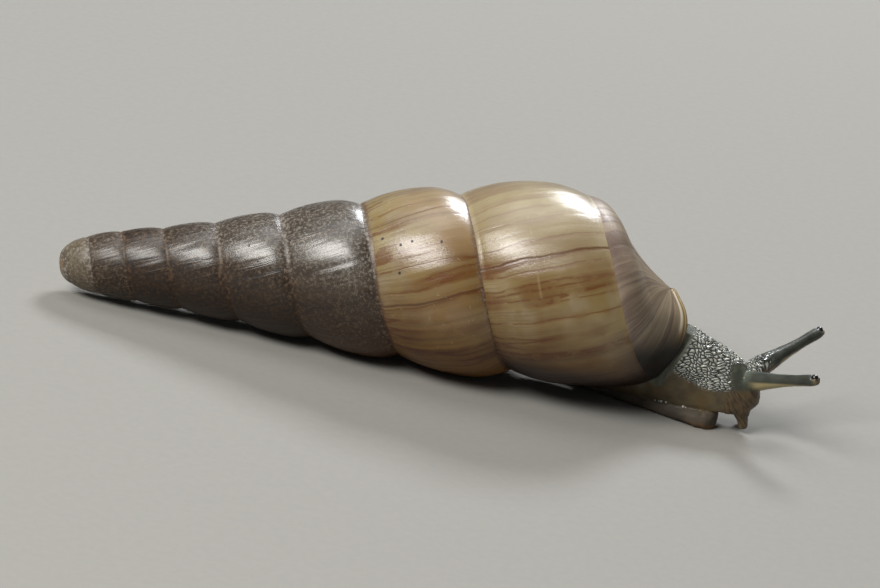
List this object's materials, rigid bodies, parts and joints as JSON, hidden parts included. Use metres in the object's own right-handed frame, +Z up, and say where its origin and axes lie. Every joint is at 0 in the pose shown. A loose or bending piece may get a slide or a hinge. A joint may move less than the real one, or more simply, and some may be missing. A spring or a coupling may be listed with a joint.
{
  "type": "striped land snail",
  "caption": "Crawling land snail with a tall, turreted, brown-streaked spiral shell and a low grey body with long eye stalks, as a still life-size model.",
  "frame": {"origin": "centre of the outline seen from above, at the level of the sole", "axes": "+X towards the head, +Y to the animal's left, +Z up"},
  "size_m": [0.0511, 0.0132, 0.0137],
  "materials": {
    "shell": "glossy horn-coloured shell with brown growth streaks",
    "mantle": "moist pale grey-brown flesh",
    "skin": "wet dark grey skin with fine warts",
    "foot_skin": "wet pale grey-brown skin",
    "eye": "glossy black"
  },
  "bodies": {
    "root": {"shell": "shell", "mantle_collar": "mantle", "neck": "skin", "head": "skin", "foot": "foot_skin", "tail": "foot_skin", "upper_tentacle_right": "skin", "upper_tentacle_left": "skin", "eye_right": "eye", "eye_left": "eye", "lower_tentacle_right": "skin", "lower_tentacle_left": "skin"}
  },
  "joints": []
}
